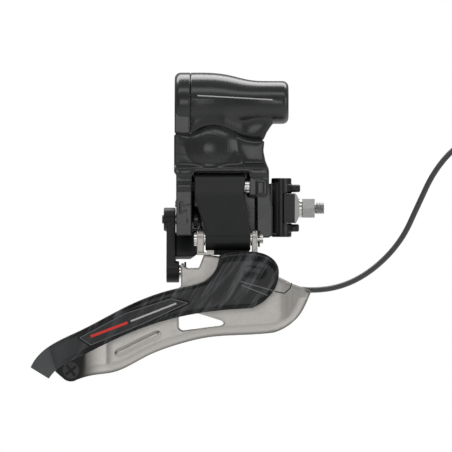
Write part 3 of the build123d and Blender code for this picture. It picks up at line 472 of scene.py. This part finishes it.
def reach(values, keys, lowest):
    """The smallest or largest value met in each slot of keys, run smoothly between slots."""
    slot = np.round((keys - keys.min()) / EDGE_STEP).astype(int)
    best = np.full(slot.max() + 1, np.inf if lowest else -np.inf)
    (np.minimum if lowest else np.maximum).at(best, slot, values)
    best = np.convolve(np.pad(best, 2, "edge"), np.ones(5) / 5, "valid")
    return np.interp((keys - keys.min()) / EDGE_STEP, np.arange(len(best)), best)


def edge_line(look, wire, values, keys, lowest):
    """The same edge for a material: reads one coordinate, gives the edge's other one."""
    first, last = float(keys.min()), float(keys.max())
    spots = np.linspace(first, last, RAMP_STOPS)
    edge = np.interp(spots, np.sort(keys), reach(values, keys, lowest)[np.argsort(keys)])
    start, height = float(edge.min()), float(np.ptp(edge))
    stops = [((spot - first) / (last - first), ((place - start) / height,) * 3)
             for spot, place in zip(spots, edge)]
    share = look.node("ShaderNodeValToRGB", {"stops": stops},
                      [(wire - first * MM) * (1 / ((last - first) * MM))])
    return share * (height * MM) + start * MM


cage_metal = Look("cage_steel", (0.60, 0.58, 0.55), 0.36, 1.0)
inner = soften("inner_plate", "cage", cage_metal, 0.32, 3)
smooth_front(inner, 6)
smooth_front(inner, 200, **JOGGLE)
smooth_front(inner, 60, **NOSE_FOLD)
places = coordinates(inner)
forward, inward, upward = places.T
to_edge = upward - reach(upward, forward, True)
to_front = (reach(forward, upward, False) - forward) * 0.9
nose = (forward > -12.0) & (upward < -38.5)
to_edge[nose] = np.minimum(to_edge, to_front)[nose]
roll = np.clip(1 - to_edge / ROLL_BAND, 0, 1) ** 1.6 * rise(forward, -91.0, 10.0)
roll *= rise(upward, -34.5, -4.0)
inward += roll * ROLL_DEPTH
move_to(inner, places)

fine = cage_metal.noise(5200.0, 2.0)
grit = cage_metal.noise(1700.0, 2.0)
drawn = cage_metal.noise(900.0, 3.0, (4.0, 1.0, 1.0), (0, radians(-25), 0))
tone = cage_metal.noise(60.0)
satin = cage_metal.blend(tone * 0.4 + grit * 0.4 + fine * 0.2, (0.36, 0.346, 0.328),
                         (0.66, 0.638, 0.606))
x, y, z = cage_metal.axes()
from_lower = z - edge_line(cage_metal, x, upward, forward, True)
from_front = edge_line(cage_metal, z, forward, upward, False) - x
from_rim = from_lower.smaller(from_front)
# Painted highlight: a bright line laid into the colour a little inside the lower edge and the nose.
painted_rim_highlight = cage_metal.ramp(from_rim, 1.2, 1.9) * (1 - cage_metal.ramp(from_rim, 2.2, 4.0))
satin = cage_metal.blend(painted_rim_highlight * 0.7, satin, (0.62, 0.60, 0.57))
# Painted shade: a dark band laid into the colour right along the rolled lower edge and the nose.
rim_shade = (1 - cage_metal.ramp(from_rim, 0.3, 1.5)) * 0.8
satin = cage_metal.blend(rim_shade, satin, (0.09, 0.085, 0.080))
# Painted shade: the plate's colour goes dark towards its tail lug.
tail_shade = 1 - cage_metal.ramp(x, -91.5, -81.5)
satin = cage_metal.blend(tail_shade, satin, (0.045, 0.040, 0.036))
satin = cage_metal.blend(cage_metal.line(SLIT, SLIT_WIDTH), satin, (0.03, 0.03, 0.03))
cage_metal.set("Base Color", satin)
cage_metal.set("Roughness", fine * 0.14 + drawn * 0.10 + 0.24)
cage_metal.bump(fine * 0.6 + drawn * 0.4, 0.18, 0.04)

# ------------------------------------------------------------------ outer plate
# The plate behind the carbon skin, anodised a matt blue-grey. Its bare tail shows a faint
# haze drawn out along its length.
tail_grey = Look("tail_grey", (0.080, 0.087, 0.090), 0.46)
haze = tail_grey.noise(220.0, 4.0, (3.3, 1.0, 1.0), (0, radians(-32), 0))
tail_grey.set("Base Color", tail_grey.blend(haze, (0.045, 0.049, 0.051), (0.090, 0.097, 0.100)))
tail_grey.set("Roughness", haze * 0.15 + 0.38)
tail_grey.bump(tail_grey.noise(2600.0), 0.15, 0.03)
soften("outer_plate", "cage", tail_grey, 0.30, 2)

# ------------------------------------------------------------------ carbon skin
# A thin moulding of long carbon tows under lacquer, bonded to the outer plate. It fades to
# the plate's grey at the tail. Its front is crowned, most of all along the top of its head,
# where a low boss stands above two fine grooves.
TOW_ANGLE = radians(57)
GROOVES = [[(-23.2, -31.0), (-9.4, -34.9)], [(-22.8, -32.6), (-11.8, -36.9)]]
LINE_WIDTH = 0.35
BARE_TAIL = (-104.0, -86.0)
BOSS = {"across": (-26.0, -9.5), "up": (-32.5, -21.2), "front_of": -23.5}
BOSS_X = -17.8
BOSS_HALF = 8.0
BOSS_LOW = -32.5
BOSS_KEPT = 0.45            # share of the boss's height that stays
EDGE_CROWN = 0.5
EDGE_CROWN_BAND = 2.0
HEAD_CROWN = 1.0
HEAD_CROWN_BAND = 4.5


def edge_distance(places, piece):
    """How far each point of a flat plate is from its outline, seen from the drive side."""
    normals = np.empty(len(places) * 3)
    piece.data.vertices.foreach_get("normal", normals)
    rim = places[np.abs(normals.reshape(-1, 3)[:, 1]) < 0.25]
    finder = KDTree(len(rim))
    for index, place in enumerate(rim):
        finder.insert((place[0], 0, place[2]), index)
    finder.balance()
    return np.array([finder.find((place[0], 0, place[2]))[2] for place in places])


def tow_look(name, colour, roughness, brightest):
    """A lacquered carbon look, and the colour of its tows."""
    look = Look(name, colour, roughness)
    strand = look.noise(330.0, 4.0, (7.0, 1.0, 1.0), (0, -TOW_ANGLE, 0), 0.5)
    tow = look.noise(1300.0, 3.0, (14.0, 1.0, 1.0), (0, -TOW_ANGLE, 0), 0.3)
    stops = [(0.40, (0.003, 0.0032, 0.0035)), (0.51, (0.013, 0.0136, 0.0145)),
             (0.66, (brightest, brightest * 1.04, brightest * 1.1))]
    look.set("Roughness", strand * 0.3 + 0.2)
    look.set("Coat Roughness", 0.1)
    look.set("Specular IOR Level", 0.12)
    return look, look.node("ShaderNodeValToRGB", {"stops": stops}, [strand * 0.65 + tow * 0.35])


carbon, tows = tow_look("carbon", (0.012, 0.0125, 0.0135), 0.34, 0.085)
x, y, z = carbon.axes()
covered = carbon.ramp(x, *BARE_TAIL)
toned = carbon.blend(covered, (0.060, 0.065, 0.067), tows)
grooved = carbon.line(GROOVES[0], LINE_WIDTH).bigger(carbon.line(GROOVES[1], LINE_WIDTH))
carbon.set("Base Color", carbon.blend(grooved, toned, (0.16, 0.165, 0.17)))
carbon.set("Coat Weight", covered * 0.25)
skin_piece = soften("carbon_skin", "cage", carbon, 0.28, 3)
smooth_front(skin_piece, 200, **BOSS)
places = coordinates(skin_piece)
forward, inward, upward = places.T
flat = np.median(inward[inward < -24.5])
proud = (inward < flat) & (np.abs(forward - BOSS_X) < BOSS_HALF) & (upward > BOSS_LOW)
inward[proud] = flat + (inward[proud] - flat) * BOSS_KEPT
crown = rise(edge_distance(places, skin_piece), EDGE_CROWN_BAND, -EDGE_CROWN_BAND) ** 2 * EDGE_CROWN
below_top = reach(upward, forward, False) - upward
on_head = rise(forward, -40.0, 8.0)
crown += rise(below_top, HEAD_CROWN_BAND, -HEAD_CROWN_BAND) ** 1.7 * on_head * HEAD_CROWN
inward += crown * rise(inward, -23.8, -1.3)
move_to(skin_piece, places)

# ------------------------------------------------------------------ label panel
# A thin panel let into the carbon skin, all but flush and darker than it, with a fine
# outline. It carries a red stripe and a pale one and no lettering.
PANEL_OUTLINE = [(-91.2, -54.8), (-86.5, -57.9), (-63.6, -48.5), (-45.6, -40.1),
                 (-52.6, -38.3), (-71.8, -44.5), (-91.2, -54.8)]
RED_STRIPE = [(-86.6, -54.3), (-71.0, -48.4)]
RED_WIDTH = 1.1
PALE_STRIPE = [(-69.6, -47.8), (-50.4, -40.3)]
PALE_WIDTH = 0.7
panel, tows = tow_look("label_panel", (0.010, 0.010, 0.011), 0.30, 0.040)
striped = panel.blend(panel.line(RED_STRIPE, RED_WIDTH), tows, (0.75, 0.02, 0.01))
striped = panel.blend(panel.line(PALE_STRIPE, PALE_WIDTH), striped, (0.55, 0.55, 0.55))
outline = panel.line(PANEL_OUTLINE, LINE_WIDTH)
panel.set("Base Color", panel.blend(outline, striped, (0.11, 0.115, 0.12)))
panel.set("Coat Weight", 0.25)

# ------------------------------------------------------------------ pins, screws and gears
# Parts whose CAD shape is shown as it is, each in its slot's finish unless it has one of
# its own: polished, plain or blackened steel, brass, rubber, moulded plastic.
STEEL = (0.72, 0.71, 0.69)
INK = (0.010, 0.010, 0.011)
bright = Look("bright_steel", STEEL, 0.20, 1.0)
turned = bright.noise(2400.0, 2.0, (1.0, 10.0, 10.0))
bright.set("Roughness", turned * 0.15 + 0.14)
plain = Look("fastener_steel", (0.42, 0.42, 0.42), 0.38, 1.0)
rub = plain.noise(1200.0)
plain.set("Base Color", plain.blend(rub, (0.34, 0.34, 0.34), (0.50, 0.50, 0.49)))
plain.set("Roughness", rub * 0.2 + 0.3)
black_steel = Look("black_steel", INK, 0.36)
black_steel.set("Roughness", black_steel.noise(900.0) * 0.2 + 0.26)
black_plastic = Look("black_plastic", INK, 0.36)
black_plastic.set("Roughness", black_plastic.noise(2400.0) * 0.15 + 0.3)
rubber = Look("rubber", (0.012, 0.012, 0.012), 0.6)
rubber.set("Roughness", rubber.noise(1500.0) * 0.2 + 0.5)
brass = Look("gear_brass", (0.62, 0.46, 0.20), 0.3, 1.0)
brass.set("Roughness", brass.noise(1200.0) * 0.2 + 0.22)
gear_steel = Look("gear_steel", (0.35, 0.35, 0.36), 0.34, 1.0)
gear_steel.set("Roughness", gear_steel.noise(1200.0) * 0.2 + 0.25)
board = Look("board_green", (0.02, 0.10, 0.05), 0.4)
board.set("Base Color", board.blend(board.noise(700.0), (0.012, 0.07, 0.035), (0.03, 0.13, 0.06)))
can = Look("motor_shell", (0.5, 0.5, 0.51), 0.3, 1.0)
can.set("Roughness", can.noise(900.0) * 0.2 + 0.2)

# The upper pin and its spacers are coloured bright steel ahead of the link's middle and near-black
# behind it.
SPACER_DARK_BEHIND = -30.0
spacer = Look("spacer_steel", STEEL, 0.22, 1.0)
x, y, z = spacer.axes()
spacer.set("Base Color", spacer.blend(x.over(SPACER_DARK_BEHIND * MM), (0.012, 0.012, 0.012), STEEL))
spacer.set("Roughness", spacer.noise(2400.0) * 0.15 + 0.18)

# The tail lug is glossy black. Its screw is dark, and the deep cross in its head is painted
# near-black as the shade inside the recess.
SCREW = Vector((-95.0, -68.7))
CROSS_TURN = radians(38)
CROSS_REACH = 2.9
CROSS_WIDTH = 1.1
gloss_black = Look("gloss_black", (0.006, 0.006, 0.0065), 0.2)
gloss_black.set("Roughness", gloss_black.noise(1500.0) * 0.12 + 0.12)
gloss_black.set("Specular IOR Level", 0.12)
screw_black = Look("screw_black", (0.040, 0.040, 0.041), 0.3)
# Painted shade: the cross recess is coloured near-black where shade falls in it.
painted_recess_shade = 0.0
for angle in (CROSS_TURN, CROSS_TURN + radians(90)):
    arm = Vector((cos(angle), sin(angle))) * CROSS_REACH
    painted_recess_shade = screw_black.stroke(SCREW - arm, SCREW + arm, CROSS_WIDTH).bigger(painted_recess_shade)
screw_black.set("Base Color", screw_black.blend(painted_recess_shade, (0.040, 0.040, 0.041),
                                                (0.001, 0.001, 0.001)))
screw_black.set("Roughness", screw_black.noise(1500.0) * 0.12 + 0.2)
screw_black.set("Specular IOR Level", 0.2)

SLOT_LOOK = {"bright_steel": bright, "fastener_steel": plain, "black_steel": black_steel,
             "black_plastic": black_plastic, "rubber": rubber, "gear_brass": brass,
             "gear_steel": gear_steel, "board_green": board, "motor_shell": can,
             "cage_steel": cage_metal, "black_alloy": black_alloy, "tail_grey": tail_grey,
             "carbon": carbon, "graphite_housing": graphite, "cable_jacket": jacket}
OWN_LOOK = {"upper_spacers": spacer, "link_pin_upper": spacer, "tail_lug": gloss_black,
            "tail_screw": screw_black, "clamp_washer": plain, "label_panel": panel}
for entry in frame["record"]["subparts"]:
    node = entry["node"]
    paint(frame["nodes"][node], OWN_LOOK.get(node, SLOT_LOOK[entry["material_slot"]]))

# ------------------------------------------------------------------ mounting stud
# The steel stud that clamps the mount. Past the nut its M5 thread is cut for real, as one
# helical ridge wrapped from a flat grid; the hidden part stays plain.
THREAD_FROM = 9.0
THREAD_TO = 12.5
THREAD_PITCH = 0.8
THREAD_RADIUS = 2.5
THREAD_DEPTH = 0.42
ROWS_ALONG = 64
ROWS_AROUND = 40
stud = copy_of("fixing_stud", "stud_body")
bpy.ops.object.mode_set(mode="EDIT")
bpy.ops.mesh.select_all(action="SELECT")
bpy.ops.mesh.bisect(plane_co=(THREAD_FROM * MM, 0, 0), plane_no=(1, 0, 0), use_fill=True,
                    clear_outer=True, threshold=0.000001)
bpy.ops.object.mode_set(mode="OBJECT")
bpy.ops.mesh.primitive_grid_add(x_subdivisions=ROWS_ALONG, y_subdivisions=ROWS_AROUND, size=1)
thread = bpy.context.object
along, around, _ = coordinates(thread).T * MM + 0.5
turn = around * 2 * pi
ahead_by = along * (THREAD_TO - THREAD_FROM)
ridge = np.abs(((ahead_by / THREAD_PITCH + around) % 1) * 2 - 1)
radius = THREAD_RADIUS - THREAD_DEPTH * np.clip(ridge * 1.3 - 0.15, 0, 1)
move_to(thread, np.column_stack((ahead_by + THREAD_FROM, radius * np.cos(turn),
                                 -radius * np.sin(turn))))
bpy.ops.object.mode_set(mode="EDIT")
bpy.ops.mesh.select_all(action="SELECT")
bpy.ops.mesh.remove_doubles(threshold=0.000001)
bpy.ops.mesh.select_all(action="DESELECT")
bpy.ops.mesh.select_non_manifold()
bpy.ops.mesh.edge_face_add()
bpy.ops.mesh.select_all(action="SELECT")
bpy.ops.mesh.normals_make_consistent(inside=False)
bpy.ops.object.mode_set(mode="OBJECT")
stud.select_set(True)
bpy.context.view_layer.objects.active = stud
bpy.ops.object.join()
paint(stud, plain)
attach(stud, "frame_body")
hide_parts("fixing_stud")

# ------------------------------------------------------------------ cage bridge
# Pressed from the same sheet as the inner plate, it joins the two plates over the chain.
# The middle of its web is painted black as the shade that falls between the link and the carbon
# skin, and its step stands a little higher than in the CAD.
WEB_X = (-34.5, -19.0)
WEB_TOP = -15.5
STEP_X = (-37.5, -19.5)
STEP_Z = -18.8
STEP_HALF = 0.5
STEP_RISE = 1.0
BRIDGE_TONE = (0.50, 0.48, 0.45)
bridge_steel = Look("bridge_steel", BRIDGE_TONE, 0.36, 1.0)
x, y, z = bridge_steel.axes()
# Painted shade: the middle of the web is coloured black where shadow falls under the link.
web_shade = x.over(WEB_X[0] * MM) * x.under(WEB_X[1] * MM) * z.under(WEB_TOP * MM)
bridge_steel.set("Base Color", bridge_steel.blend(web_shade, BRIDGE_TONE, INK))
bridge_steel.set("Roughness", bridge_steel.noise(900.0) * 0.2 + 0.26)
bridge = soften("cage_bridge", "cage", bridge_steel, 0.26, 2)
places = coordinates(bridge)
forward, inward, upward = places.T
step = (np.abs(upward - STEP_Z) < STEP_HALF) & (forward > STEP_X[0]) & (forward < STEP_X[1])
upward[step] += STEP_RISE
move_to(bridge, places)
